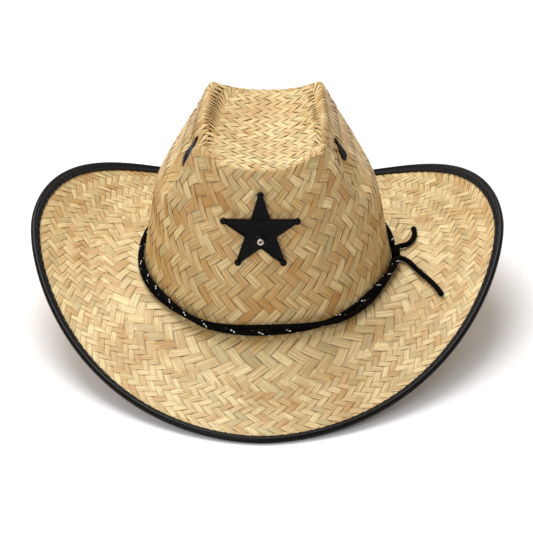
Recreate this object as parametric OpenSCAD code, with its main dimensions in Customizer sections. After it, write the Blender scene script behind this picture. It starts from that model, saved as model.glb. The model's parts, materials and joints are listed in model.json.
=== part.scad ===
// Plaited palm western hat: pinched crown, wired and bound brim, twisted hatband, riveted star.
// The hat stands on the front and back of its brim. The star is at the front, towards -Y.

/* [Brim] */
// Width of the brim from side to side, over the binding
brim_width = 337; // [329:1:345]
// Length of the brim from front to back, over the binding
brim_length = 369; // [361:1:377]
// Rise of the side edges above the front and back edges
side_curl = 66; // [58:1:70]
// Share by which the curl is higher towards the back
curl_to_back = 0.69; // [0.5:0.01:0.8]
// Fall of the brim as it leaves the crown at front and back
brim_fall = 50; // [40:1:56]
// Roundness of the brim outline, where 2 is an ellipse
outline_power = 1.8; // [1.7:0.05:2]

/* [Crown] */
// Width of the crown where it meets the brim
head_width = 178; // [174:1:182]
// Length of the crown where it meets the brim
head_length = 203; // [199:1:207]
// Height of the break line, where crown and brim meet, above the brim's low points
break_height = 36; // [32:1:38]
// Height of the front shoulders above the break line
crown_height = 125; // [118:1:130]
// Fall of the ridges from front to back
ridge_drop = 10; // [6:1:14]
// Half the distance between the ridges at the front
ridge_half = 46; // [44:1:48]
// Depth of the crease between the ridges at the front
crease_front = 13; // [10:1:15]
// How much deeper the crease is behind the front shoulders
crease_gain = 7; // [4:1:9]
// Depth of the pinches at the front of both sides
pinch_depth = 20; // [14:1:21]
// Thickness of the plaited palm
palm_thickness = 1.6; // [1.4:0.1:1.8]

/* [Binding] */
// Width of the binding tape under the brim
tape_width = 7.8; // [7:0.1:9]
// Width of the tape that shows on top of the brim at the front
tape_front = 4.9; // [4.6:0.1:6.6]
// Width of the tape that shows on top of the brim at the back
tape_back = 8.8; // [8:0.1:9.4]
// Thickness of the binding tape
tape_thickness = 0.6; // [0.5:0.05:0.7]
// Outer radius of the bead where the tape folds round the wire
bead_radius = 2.2; // [2.1:0.05:2.4]
// Radius of the brim wire
wire_radius = 0.9; // [0.7:0.05:1]
// Length of the crimped sleeve that joins the wire's ends
sleeve_length = 7; // [6:1:9]
// Number of stitches in the binding
binding_stitch_count = 160; // [120:4:200]

/* [Hatband] */
// Radius of each of the two cords
cord_radius = 1.9; // [1.7:0.05:1.95]
// Space that the band keeps from crown and brim
band_gap = 0.4; // [0.35:0.05:0.5]

/* [Star] */
// Distance from the middle of the star to the middle of each tip ball
star_radius = 26.5; // [25:0.5:28]
// Distance from the middle of the star to its inner corners
star_waist = 11.4; // [10.8:0.2:13]
// Thickness of the star's plate
star_plate = 1.8; // [1.5:0.1:2.2]
// Height of the raised rim on the plate
star_rim = 0.8; // [0.5:0.1:1]
// Distance of the rivet below the middle of the star
rivet_drop = 6.8; // [5:0.1:7.5]
// Radius of the rivet's shank
rivet_radius = 1.6; // [1.4:0.05:1.8]

/* [Sweatband] */
// Height of the sweatband
sweatband_height = 31; // [26:1:34]
// Thickness of the sweatband
sweatband_thickness = 1.3; // [1:0.1:1.6]
// Number of stitches round the foot of the sweatband
sweatband_stitch_count = 96; // [72:4:120]

/* [Hidden] */

stations = 84;          // rings and outlines have a point every 360 / stations degrees
wall_rings = [1, 0.955, 0.91, 0.875];   // shares of the head oval, from the foot up
top_from = 0.855;       // the top's rings run from this share of the oval to its middle
top_rings = 24;
brim_rings = 8;
rest_lift = 2.54;       // height of the brim's edge line over the surface that the bead rests on
edge_gap = 3.7;         // the palm ends this far inside the binding's outer edge
tape_gap = 0.15;        // between tape and palm
neck_run = 1.6;         // the bead meets the flat tape this far inside the bead's middle
wire_inset = 2.1;       // middle of the wire, inside the binding's outer edge
sleeve_wall = 0.2;
sleeve_clearance = 0.2;
sleeve_inset = 2.23;    // the straight sleeve sits on the middle of the curved wire's run
sleeve_lift = 0.08;
stitch_border = 1.4;    // row of stitches, outside the tape's inner border
stitch_length = 4;
stitch_radius = 0.25;
stitch_stand = 0.6;     // share of its radius by which a stitch stands above what it lies on
sweat_gap = 0.2;        // between sweatband and palm
sweat_stitch_rise = 3;
sweat_stitch_length = 3.6;
break_bow = 3;          // the break line is this much lower at front and back
side_lean = 6.3;        // rise of the crown's side wall for each millimetre inwards
front_lean = 4.6;
back_lean = 4.2;
shoulder_round = 12;    // rounding between the walls and the top
ridge_round = 14;       // rounding of the ridges
ridge_closing = 5;      // the ridges come together by this much at the back, each side
roof_fall = 56;         // fall of the top outside a ridge over roof_run
roof_run = 34;
roof_power = 0.8;
top_aside = 1.4;        // the whole top leans this far towards -X
front_y = -60;          // where the front shoulders are
top_run = 118;          // length of the top from the front shoulders to the back
crease_from = -70;      // the crease deepens from here over crease_run
crease_run = 60;
crease_loss = 5;        // the crease is this much shallower again at the back
loss_from = 10;
pinch_at = [55, -30];
pinch_size = [17, 16];
band_start = 5;         // the hatband runs from here to band_end, in degrees round the crown
band_end = 355.5;
band_rings = 76;
// Twist of the two cords by place, both in degrees. At 0 the plain cord lies straight above the flecked.
twist_stops = [[band_start, -540], [35, -540], [155, -180], [217, -180],
    [275, 0], [333, 180], [391, 360]];
star_x = -1.3;
star_y = -87.2;
star_tip = 1.4;         // half the width of a point where it meets its ball
star_gap = 0.8;         // the star stands off the smooth surface on the weave's high points
ball_radius = 2.5;
boss_radius = 3.6;
boss_height = 0.6;
washer_radius = 4.5;
washer_thickness = 0.6;
washer_gap = 0.35;      // between washer and palm
rivet_bore = 0.8;
shank_clearance = 0.06;
vent_gap = 0.3;         // between vent trim and palm
vent_thickness = 1.1;
vent_steps = 10;
knot_lumps = [[92.4, 6.4, 42.5, 3.3], [92.7, 2.2, 42.3, 2.9],
    [92.7, -2.2, 42.1, 2.9], [92.6, -6, 42, 2.7]];
upper_route = [[92.6, 7.4, 42.1], [93.8, 9.6, 41.7], [95.4, 11.2, 41.4], [97.4, 12.2, 41.3],
    [99.6, 13, 41.4], [101.6, 14.4, 41.5], [103.1, 16.4, 41.6], [104.3, 18.8, 41.7],
    [105.2, 21.4, 41.8], [105.9, 24, 41.9], [106.4, 26.7, 41.9], [106.6, 29.4, 41.9],
    [106.5, 32.1, 41.8], [106.2, 34.8, 41.7], [105.7, 37.4, 41.6]];
lower_route = [[93.4, -5.6, 41.9], [96.4, -6, 41.5], [99.2, -7.6, 41.3], [101.7, -10.5, 41.3],
    [103.7, -14.2, 41.4], [105.6, -18.2, 41.4], [108.2, -22.8, 41.4], [111, -27.8, 41.3],
    [113.9, -32.6, 41.2], [116.7, -37.2, 41.1], [119.1, -41.5, 40.8], [121.1, -45.6, 40.6],
    [122.6, -49, 40.3], [123.6, -51.8, 40.1], [124.4, -54.4, 39.9]];

palm_colour = [0.86, 0.74, 0.52];
black_vinyl = [0.09, 0.085, 0.085];
black_yarn = [0.03, 0.03, 0.035];
steel = [0.68, 0.68, 0.7];
thread_colour = [0.13, 0.12, 0.12];
band_cloth = [0.78, 0.7, 0.56];

// ---- small helpers

function limit(v, low, high) = min(max(v, low), high);
function unit(v) = v / norm(v);
function power(v, p) = sign(v) * pow(abs(v), p);
function smooth_min(a, b, k) =
    let (h = limit(0.5 + 0.5 * (b - a) / k, 0, 1))
    b * (1 - h) + a * h - k * h * (1 - h);
function around(count, from = 0, to = 360) = [for (i = [0 : count - 1]) from + i * (to - from) / count];

// ---- the crown, as a height over its oval plan

function head(angle) = [head_width / 2 * cos(angle), head_length / 2 * sin(angle)];
function break_z(angle) = rest_lift + break_height - break_bow * pow(sin(angle), 2);
function top_z(x, y) =
    let (
        along = limit((y - front_y) / top_run, -0.3, 1.4),
        ridge_z = crown_height - ridge_drop * along,
        crease = crease_front + crease_gain * pow(limit((y - crease_from) / crease_run, 0, 1), 0.8)
            - crease_loss * limit((y - loss_from) / crease_run, 0, 1),
        half = ridge_half - ridge_closing * along,
        aside = abs(x + top_aside),
        valley = ridge_z - crease * (1 - pow(min(aside / half, 1.5), 2.4)),
        roof = ridge_z - roof_fall * power((aside - half) / roof_run, roof_power),
        across = (aside - pinch_at[0]) / pinch_size[0],
        back = (y - pinch_at[1]) / pinch_size[1])
    smooth_min(valley, roof, ridge_round) - pinch_depth * exp(-across * across - back * back);
function wall_rise(angle) =
    let (end_lean = sin(angle) < 0 ? front_lean : back_lean)
    head_width / 2 * side_lean * pow(cos(angle), 2) + head_length / 2 * end_lean * pow(sin(angle), 2);
function crown_z(x, y) =
    let (
        u = x / (head_width / 2),
        v = y / (head_length / 2),
        angle = (u == 0 && v == 0) ? 0 : atan2(v, u),
        wall = wall_rise(angle) * (1 - norm([u, v])))
    smooth_min(wall, top_z(x, y), shoulder_round) + rest_lift + break_height - break_bow * v * v;
function crown_normal(x, y) =
    let (d = 0.2)
    unit([crown_z(x - d, y) - crown_z(x + d, y), crown_z(x, y - d) - crown_z(x, y + d), 2 * d]);
// A point at a height above the crown's outer surface
function on_crown(x, y, height = 0) = [x, y, crown_z(x, y)] + crown_normal(x, y) * height;

// ---- the brim, from the crown (run 0) to its outer edge (run 1)

function edge(angle) =
    let (
        c = cos(angle),
        s = sin(angle),
        reach = pow(pow(abs(c), outline_power) + pow(abs(s), outline_power), -1 / outline_power),
        x = brim_width / 2 * c * reach,
        y = brim_length / 2 * s * reach)
    [x, y, rest_lift + side_curl * pow(c * reach, 2) * (1 + curl_to_back * s * reach)];
function brim_point(angle, run) =
    let (
        inner = head(angle),
        outer = edge(angle),
        fall = -brim_fall * pow(abs(sin(angle)), 1.5),
        z = break_z(angle),
        plan = inner + ([outer[0], outer[1]] - inner) * run)
    [plan[0], plan[1], z + fall * run + (outer[2] - z - fall) * run * run];
function brim_normal(angle, run) =
    unit(cross(brim_point(angle, run + 0.01) - brim_point(angle, run - 0.01),
        brim_point(angle + 0.5, run) - brim_point(angle - 0.5, run)));
function edge_reach(angle) = norm(brim_point(angle, 1) - brim_point(angle, 0.98)) / 0.02;
// A point by its distance in from the outer edge and its height over the middle of the palm
function on_edge(angle, inset, height) =
    let (run = 1 - inset / edge_reach(angle))
    brim_point(angle, run) + brim_normal(angle, run) * (height - palm_thickness / 2);
function edge_along(angle) = unit(edge(angle + 0.5) - edge(angle - 0.5));

// ---- skins

// A skin over equal outlines. It is a ring when closed, and has flat ends when not.
module skin(outlines, closed = true) {
    n = len(outlines);
    m = len(outlines[0]);
    last = closed ? n - 1 : n - 2;
    sides = [for (i = [0 : last], j = [0 : m - 1])
        let (
            a = i * m + j,
            b = i * m + (j + 1) % m,
            c = ((i + 1) % n) * m + (j + 1) % m,
            d = ((i + 1) % n) * m + j)
        each [[a, b, c], [a, c, d]]];
    ends = closed ? [] : [[for (j = [m - 1 : -1 : 0]) j], [for (j = [0 : m - 1]) (n - 1) * m + j]];
    polyhedron([for (outline = outlines) each outline], concat(sides, ends), convexity = 10);
}

// A skin over level rings, closed to a point at both ends
module pod(first, rings, last) {
    n = len(rings);
    m = len(rings[0]);
    sides = [for (i = [0 : n - 2], j = [0 : m - 1])
        let (a = 1 + i * m + j, b = 1 + i * m + (j + 1) % m, c = b + m, d = a + m)
        each [[a, b, c], [a, c, d]]];
    start = [for (j = [0 : m - 1]) [0, 1 + (j + 1) % m, 1 + j]];
    tip = 1 + n * m;
    finish = [for (j = [0 : m - 1]) [tip, tip - m + j, tip - m + (j + 1) % m]];
    polyhedron(concat([first], [for (r = rings) each r], [last]),
        concat(sides, start, finish), convexity = 10);
}

// Outlines of a round tube along a route
function tube_frames(route, radius, sides) = [for (i = [0 : len(route) - 1])
    let (
        along = unit(route[min(i + 1, len(route) - 1)] - route[max(i - 1, 0)]),
        out = unit(cross(along, [0, 0, 1])),
        up = cross(out, along))
    [for (k = [0 : sides - 1]) route[i] + radius * (cos(k * 360 / sides) * out + sin(k * 360 / sides) * up)]];

// ---- palm body

function crown_ring(run, depth) = [for (a = around(stations))
    let (p = head(a) * run)
    on_crown(p[0], p[1], -depth)];
// The foot of the wall passes straight down beside the brim's inner edge
function crown_foot(depth) = [for (a = around(stations))
    let (p = head(a), out = unit(p))
    [p[0] - out[0] * depth, p[1] - out[1] * depth, break_z(a) - palm_thickness]];

module star_place() {
    n = crown_normal(star_x, star_y);
    translate(on_crown(star_x, star_y))
        rotate([90 - asin(n[2]), 0, 0])
            children();
}

module crown() {
    runs = concat(wall_rings, [for (i = [1 : top_rings - 1]) top_from * (1 - i / top_rings)]);
    inner = [for (i = [len(runs) - 1 : -1 : 0]) crown_ring(runs[i], palm_thickness)];
    outer = [for (r = runs) crown_ring(r, 0)];
    color(palm_colour)
        difference() {
            pod(on_crown(0, 0, -palm_thickness),
                concat(inner, [crown_foot(palm_thickness), crown_foot(0)], outer),
                on_crown(0, 0));
            star_place()
                translate([0, 0, -4])
                    cylinder(r = rivet_radius, h = 8, $fn = 40);
        }
}

module brim() {
    outlines = [for (a = around(stations))
        let (
            reach = edge_reach(a),
            tape_at = 1 - (tape_back + 1) / reach,
            runs = concat([for (i = [0 : brim_rings]) tape_at * i / brim_rings],
                [1 - (tape_width - 2.2) / reach, 1 - edge_gap / reach]),
            foot = brim_point(a, 0) - [0, 0, palm_thickness],
            top = [for (run = runs) brim_point(a, run)],
            under = [for (i = [len(runs) - 1 : -1 : 1])
                brim_point(a, runs[i]) - brim_normal(a, runs[i]) * palm_thickness])
        concat(top, under, [foot])];
    color(palm_colour)
        skin(outlines);
}

// ---- binding, wire and stitches

// The tape's top flange is narrowest at the front
function tape_top(angle) =
    let (s = sin(angle))
    (tape_front + tape_back) / 2 + (tape_back - tape_front) / 2 * s;

module brim_binding() {
    face = palm_thickness / 2 + tape_gap;
    hollow = bead_radius - tape_thickness;
    middle = bead_radius;
    bead = [for (t = [70, 35, 0, -35, -70]) [middle - bead_radius * cos(t), bead_radius * sin(t)]];
    fold = [for (t = [-75, -50, -25, 0, 25, 50, 75]) [middle - hollow * cos(t), hollow * sin(t)]];
    neck = middle + neck_run;
    half = face + tape_thickness;
    under = concat(bead, [[neck, -half], [tape_width, -half], [tape_width, -face], [neck, -face]], fold);
    color(black_vinyl)
        skin([for (a = around(stations))
            let (wide = tape_top(a))
            [for (p = concat([[wide, half], [neck, half]], under, [[neck, face], [wide, face]]))
                on_edge(a, p[0], p[1])]]);
}

module brim_wire() {
    color(steel)
        skin([for (a = around(stations, 90, 450))
            [for (k = around(8)) on_edge(a, wire_inset - wire_radius * cos(k), wire_radius * sin(k))]]);
}

module wire_sleeve() {
    bore = wire_radius + sleeve_clearance;
    color(steel)
        translate(on_edge(90, sleeve_inset, sleeve_lift))
            rotate([0, 90, 0])
                difference() {
                    cylinder(r = bore + sleeve_wall, h = sleeve_length, center = true, $fn = 32);
                    cylinder(r = bore, h = sleeve_length + 1, center = true, $fn = 32);
                }
}

module stitch(middle, along, length) {
    translate(middle)
        rotate([0, acos(along[2]), atan2(along[1], along[0])])
            cylinder(r = stitch_radius, h = length, center = true, $fn = 16);
}

module binding_stitches() {
    height = palm_thickness / 2 + tape_gap + tape_thickness + stitch_radius * stitch_stand;
    color(thread_colour)
        for (a = around(binding_stitch_count))
            stitch(on_edge(a, tape_top(a) - stitch_border, height), edge_along(a), stitch_length);
}

// ---- sweatband

function sweat_point(angle, rise, depth) =
    let (
        run = 1 - rise / wall_rise(angle),
        p = head(angle) * run)
    on_crown(p[0], p[1], -depth);

module sweatband() {
    near = palm_thickness + sweat_gap;
    far = near + sweatband_thickness;
    color(band_cloth)
        skin([for (a = around(stations))
            [sweat_point(a, sweatband_height, near), sweat_point(a, 0, near),
                sweat_point(a, 0, far), sweat_point(a, sweatband_height, far)]]);
}

module sweatband_stitches() {
    depth = palm_thickness + sweat_gap + sweatband_thickness + stitch_radius * stitch_stand;
    rise = sweat_stitch_rise;
    color(thread_colour)
        for (a = around(sweatband_stitch_count))
            stitch(sweat_point(a, rise, depth),
                unit(sweat_point(a + 0.5, rise, depth) - sweat_point(a - 0.5, rise, depth)),
                sweat_stitch_length);
}

// ---- vent trims, a drop-shaped patch on each pinch

// Half the drop's width where t runs from the round end (0) to the sharp one (1)
function drop_half(t, width) = width / 2 * (0.12 + pow(sin(155 * pow(1 - t, 2.1) + 6), 0.8));

module vent_trim(round_end, point_end, width) {
    lane = unit(point_end - round_end);
    side = [-lane[1], lane[0]];
    rows = [for (i = [0 : vent_steps])
        let (
            t = i / vent_steps,
            middle = round_end + (point_end - round_end) * t,
            wide = side * drop_half(t, width),
            top = [for (k = [-1, -0.5, 0, 0.5, 1])
                let (p = middle + wide * k)
                on_crown(p[0], p[1], vent_gap + vent_thickness * (1 - 0.4 * k * k))],
            under = [for (k = [1, 0.5, 0, -0.5, -1])
                let (p = middle + wide * k)
                on_crown(p[0], p[1], vent_gap)])
        concat(top, under)];
    skin(rows, closed = false);
}

module vent_trim_left() {
    color(black_vinyl)
        vent_trim([-57.5, -17.5], [-46.5, -20], 6.5);
}

module vent_trim_right() {
    color(black_vinyl)
        vent_trim([56.5, -13], [48.5, -11], 6);
}

// ---- star, rivet and washer, modelled flat with the rivet's axis along +Z

function star_outline(inset) = [for (i = [0 : 4])
    let (
        tip = 90 + 72 * i,
        out = star_radius - 1.5 * inset,
        half = max(star_tip - 0.7 * inset, 0.4),
        waist = star_waist - inset * 1.1)
    each [
        [out * cos(tip) + half * sin(tip), out * sin(tip) - half * cos(tip) + rivet_drop],
        [out * cos(tip) - half * sin(tip), out * sin(tip) + half * cos(tip) + rivet_drop],
        [waist * cos(tip + 36), waist * sin(tip + 36) + rivet_drop]]];

module star_badge() {
    color(black_vinyl)
        star_place()
            translate([0, 0, star_gap])
                difference() {
                    union() {
                        linear_extrude(star_plate)
                            polygon(star_outline(0));
                        translate([0, 0, star_plate - 0.1])
                            linear_extrude(star_rim + 0.1)
                                difference() {
                                    polygon(star_outline(0));
                                    polygon(star_outline(1.4));
                                }
                        cylinder(r = boss_radius, h = star_plate + boss_height, $fn = 48);
                        for (i = [0 : 4])
                            translate([0, rivet_drop, ball_radius])
                                rotate([0, 0, 90 + 72 * i])
                                    translate([star_radius, 0, 0])
                                        sphere(r = ball_radius, $fn = 32);
                    }
                    translate([0, 0, -1])
                        cylinder(r = rivet_radius + shank_clearance, h = 10, $fn = 40);
                }
}

module star_rivet() {
    head_z = star_gap + star_plate + boss_height + 0.1;
    clinch_z = -palm_thickness - washer_gap - washer_thickness - 0.1;
    flange = rivet_radius + 0.9;
    profile = [[rivet_bore, clinch_z - 0.5], [flange - 0.5, clinch_z - 0.5], [flange, clinch_z],
        [rivet_radius, clinch_z], [rivet_radius, head_z], [flange - 0.05, head_z],
        [flange - 0.15, head_z + 0.5], [flange - 0.8, head_z + 0.85], [rivet_bore, head_z + 0.6]];
    color(steel)
        star_place()
            rotate_extrude($fn = 48)
                polygon(profile);
}

module rivet_washer() {
    color(steel)
        star_place()
            translate([0, 0, -palm_thickness - washer_gap - washer_thickness])
                difference() {
                    cylinder(r = washer_radius, h = washer_thickness, $fn = 48);
                    translate([0, 0, -1])
                        cylinder(r = rivet_radius + 0.1, h = 3, $fn = 40);
                }
}

// ---- hatband: two cords twisted round each other at the foot of the crown

function soft_abs(v) = sqrt(v * v + 0.02);
// side is 1 for the plain cord and -1 for the flecked one
function band_point(angle, side) =
    let (
        phase = lookup(angle, twist_stops),
        p = head(angle),
        out = crown_normal(p[0], p[1]),
        up = unit([0, 0, 1] - out * out[2]),
        pair = cord_radius * 1.04,
        away = cord_radius + band_gap + pair * soft_abs(sin(phase)) + side * pair * sin(phase),
        above = cord_radius + band_gap + pair * soft_abs(cos(phase)) + side * pair * cos(phase))
    [p[0], p[1], break_z(angle)] + out * away + up * above;
function band_route(side) = [for (i = [0 : band_rings])
    band_point(band_start + (band_end - band_start) * i / band_rings, side)];

module hatband_cord_plain() {
    color(black_yarn)
        skin(tube_frames(band_route(1), cord_radius, 8), closed = false);
}

module hatband_cord_flecked() {
    color(black_yarn)
        skin(tube_frames(band_route(-1), cord_radius, 8), closed = false);
}

module hatband_knot() {
    color(black_yarn)
        union()
            for (lump = knot_lumps)
                translate([lump[0], lump[1], lump[2]])
                    sphere(r = lump[3], $fn = 32);
}

module cord_end_upper() {
    color(black_yarn)
        skin(tube_frames(upper_route, cord_radius, 8), closed = false);
}

module cord_end_lower() {
    color(black_yarn)
        skin(tube_frames(lower_route, cord_radius, 8), closed = false);
}

crown();
brim();
brim_binding();
brim_wire();
wire_sleeve();
binding_stitches();
sweatband();
sweatband_stitches();
vent_trim_left();
vent_trim_right();
star_badge();
star_rivet();
rivet_washer();
hatband_cord_plain();
hatband_cord_flecked();
hatband_knot();
cord_end_upper();
cord_end_lower();
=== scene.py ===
import json
import math

import bpy
import numpy as np
from mathutils import Matrix, Vector


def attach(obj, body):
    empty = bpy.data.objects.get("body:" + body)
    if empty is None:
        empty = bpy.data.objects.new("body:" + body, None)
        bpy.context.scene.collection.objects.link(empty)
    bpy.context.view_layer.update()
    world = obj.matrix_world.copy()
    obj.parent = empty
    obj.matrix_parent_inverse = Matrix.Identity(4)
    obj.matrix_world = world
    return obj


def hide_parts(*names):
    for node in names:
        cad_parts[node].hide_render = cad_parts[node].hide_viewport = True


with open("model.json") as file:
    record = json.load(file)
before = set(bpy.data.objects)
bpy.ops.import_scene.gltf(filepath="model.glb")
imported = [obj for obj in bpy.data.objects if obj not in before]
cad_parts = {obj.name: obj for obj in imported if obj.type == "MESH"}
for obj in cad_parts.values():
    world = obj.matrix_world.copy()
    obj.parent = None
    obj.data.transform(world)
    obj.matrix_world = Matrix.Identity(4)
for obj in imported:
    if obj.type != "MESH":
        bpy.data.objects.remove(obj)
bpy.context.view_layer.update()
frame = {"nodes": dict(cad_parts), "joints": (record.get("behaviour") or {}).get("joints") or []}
print("frame loaded:", len(frame["nodes"]), "nodes")

mm = 0.001    # every shape below is worked out in millimetres and made in metres
turn = 2 * math.pi


# the camera comes first; the cord ends' routes below were measured against its view

view = {
    "target": (0, 0, 0.06254),
    "distance": 2.0,
    "yaw": 2.0,
    "elevation": 29.7,
    "roll": -0.7,
    "lens": 188.4,
    "below": 0.0278,     # the hat stands this far above the middle of the frame
    "aside": 0.0006,
}


def makeCamera():
    data = bpy.data.cameras.new("hatCamera")
    data.lens = view["lens"]
    camera = bpy.data.objects.new("hatCamera", data)
    bpy.context.scene.collection.objects.link(camera)
    yaw = math.radians(view["yaw"])
    rise = math.radians(view["elevation"])
    back = Vector((math.sin(yaw) * math.cos(rise), -math.cos(yaw) * math.cos(rise), math.sin(rise)))
    place = Vector(view["target"]) + back * view["distance"]
    straight = (-back).to_track_quat("-Z", "Y").to_matrix()
    aim = Vector(view["target"]) - straight.col[1] * view["below"] - straight.col[0] * view["aside"]
    camera.location = place
    turned = (aim - place).to_track_quat("-Z", "Y").to_matrix().to_4x4()
    camera.rotation_euler = (turned @ Matrix.Rotation(math.radians(view["roll"]), 4, "Z")).to_euler()
    bpy.context.scene.camera = camera


makeCamera()
print("camera placed")


# the hat's surfaces, with the frame's own sizes

hat = {
    "brimWidth": 337,
    "brimLength": 369,
    "sideCurl": 66,
    "curlToBack": 0.69,
    "brimFall": 50,
    "outlinePower": 1.8,
    "headWidth": 178,
    "headLength": 203,
    "restLift": 2.54,
    "breakHeight": 36,
    "breakBow": 3,
    "crownHeight": 125,
    "ridgeDrop": 10,
    "ridgeHalf": 46,
    "ridgeClosing": 5,
    "ridgeRound": 14,
    "creaseFront": 13,
    "creaseGain": 7,
    "creaseFrom": -70,
    "creaseRun": 60,
    "creaseLoss": 5,
    "lossFrom": 10,
    "roofPower": 0.8,
    "topAside": 1.4,
    "roofFall": 56,
    "roofRun": 34,
    "frontY": -60,
    "topRun": 118,
    "pinchDepth": 20,
    "pinchAt": (55, -30),
    "pinchSize": (17, 16),
    "sideLean": 6.3,
    "frontLean": 4.6,
    "backLean": 4.2,
    "shoulderRound": 12,
    "palmThickness": 1.6,
    "edgeGap": 3.7,
}


def smoothMin(a, b, soft):
    blend = np.clip(0.5 + 0.5 * (b - a) / soft, 0, 1)
    return b * (1 - blend) + a * blend - soft * blend * (1 - blend)


def ridgeLine(y):
    along = np.clip((y - hat["frontY"]) / hat["topRun"], -0.3, 1.4)
    return hat["crownHeight"] - hat["ridgeDrop"] * along, hat["ridgeHalf"] - hat["ridgeClosing"] * along


def topHeight(x, y):
    ridge, half = ridgeLine(y)
    aside = abs(x + hat["topAside"])
    gain = np.clip((y - hat["creaseFrom"]) / hat["creaseRun"], 0, 1) ** 0.8
    loss = np.clip((y - hat["lossFrom"]) / hat["creaseRun"], 0, 1)
    crease = hat["creaseFront"] + hat["creaseGain"] * gain - hat["creaseLoss"] * loss
    valley = ridge - crease * (1 - np.minimum(aside / half, 1.5) ** 2.4)
    out = (aside - half) / hat["roofRun"]
    roof = ridge - hat["roofFall"] * np.sign(out) * abs(out) ** hat["roofPower"]
    across = (aside - hat["pinchAt"][0]) / hat["pinchSize"][0]
    back = (y - hat["pinchAt"][1]) / hat["pinchSize"][1]
    return smoothMin(valley, roof, hat["ridgeRound"]) - hat["pinchDepth"] * np.exp(-across ** 2 - back ** 2)


def wallRise(angle):
    lean = np.where(np.sin(angle) < 0, hat["frontLean"], hat["backLean"])
    side = hat["headWidth"] / 2 * hat["sideLean"] * np.cos(angle) ** 2
    return side + hat["headLength"] / 2 * lean * np.sin(angle) ** 2


def crownHeight(x, y):
    u = x / (hat["headWidth"] / 2)
    v = y / (hat["headLength"] / 2)
    wall = wallRise(np.arctan2(v, u)) * (1 - np.hypot(u, v))
    foot = hat["restLift"] + hat["breakHeight"] - hat["breakBow"] * v * v
    return smoothMin(wall, topHeight(x, y), hat["shoulderRound"]) + foot


def unitRows(vectors):
    return vectors / np.maximum(np.linalg.norm(vectors, axis=-1, keepdims=True), 1e-12)


# how far along a path each of its points lies
def pathLength(path):
    return np.concatenate([[0], np.cumsum(np.linalg.norm(np.diff(path, axis=0), axis=1))])


def crownPoint(x, y, height=0):
    d = 0.2
    normal = unitRows(np.stack([crownHeight(x - d, y) - crownHeight(x + d, y),
                                crownHeight(x, y - d) - crownHeight(x, y + d),
                                np.full_like(x, 2 * d)], -1))
    return np.stack([x, y, crownHeight(x, y)], -1) + normal * np.asarray(height)[..., None], normal


def headOval(angle):
    return np.stack([hat["headWidth"] / 2 * np.cos(angle), hat["headLength"] / 2 * np.sin(angle)], -1)


def breakHeight(angle):
    return hat["restLift"] + hat["breakHeight"] - hat["breakBow"] * np.sin(angle) ** 2


def edgeLine(angle):
    c = np.cos(angle)
    s = np.sin(angle)
    p = hat["outlinePower"]
    reach = (abs(c) ** p + abs(s) ** p) ** (-1 / p)
    z = hat["restLift"] + hat["sideCurl"] * (c * reach) ** 2 * (1 + hat["curlToBack"] * s * reach)
    return np.stack([hat["brimWidth"] / 2 * c * reach, hat["brimLength"] / 2 * s * reach, z], -1)


def brimSurface(angle, run):
    inner = headOval(angle)
    outer = edgeLine(angle)
    fall = -hat["brimFall"] * abs(np.sin(angle)) ** 1.5
    z = breakHeight(angle)
    plan = inner + (outer[..., :2] - inner) * run[..., None]
    level = z + fall * run + (outer[..., 2] - z - fall) * run * run
    return np.concatenate([plan, level[..., None]], -1)


def brimPoint(angle, run, height=0):
    step = 0.004
    outwards = brimSurface(angle, run + step) - brimSurface(angle, run - step)
    onwards = brimSurface(angle + step, run) - brimSurface(angle - step, run)
    normal = unitRows(np.cross(outwards, onwards))
    return brimSurface(angle, run) + normal * np.asarray(height)[..., None], normal


def edgeReach(angle):
    one = np.ones_like(angle)
    return np.linalg.norm(brimSurface(angle, one) - brimSurface(angle, one * 0.98), axis=-1) / 0.02


def onEdge(angle, inset, height):
    angle, inset, height = np.broadcast_arrays(angle, inset, height)
    run = 1 - inset / edgeReach(angle)
    return brimPoint(angle, run, height - hat["palmThickness"] / 2)[0]


# equal steps round the head oval, so that the strips start out equally wide
ovalAngles = np.linspace(0, turn, 1441)
ovalSteps = np.linalg.norm(np.diff(headOval(ovalAngles), axis=0), axis=1)
ovalShare = np.concatenate([[0], np.cumsum(ovalSteps)]) / ovalSteps.sum()


def ovalAngle(share):
    whole = np.floor(share)
    return np.interp(share - whole, ovalShare, ovalAngles) + whole * turn


def gridFaces(rows, columns, wrapRows=False, wrapColumns=False, start=0):
    r = np.arange(rows if wrapRows else rows - 1)
    c = np.arange(columns if wrapColumns else columns - 1)
    r, c = np.meshgrid(r, c, indexing="ij")
    nextRow = (r + 1) % rows
    nextColumn = (c + 1) % columns
    faces = np.stack([r * columns + c, r * columns + nextColumn,
                      nextRow * columns + nextColumn, nextRow * columns + c], -1)
    return faces.reshape(-1, 4) + start


def endCaps(rings, sides):
    return np.array([np.arange(sides), (np.arange(sides) + (rings - 1) * sides)[::-1]])


def turnedOutwards(points, faceSets):
    volume = 0
    for faces in faceSets:
        for k in range(1, faces.shape[1] - 1):
            a, b, c = points[faces[:, 0]], points[faces[:, k]], points[faces[:, k + 1]]
            volume += np.einsum("ij,ij->", a, np.cross(b, c))
    return faceSets if volume > 0 else [faces[:, ::-1] for faces in faceSets]


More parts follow.
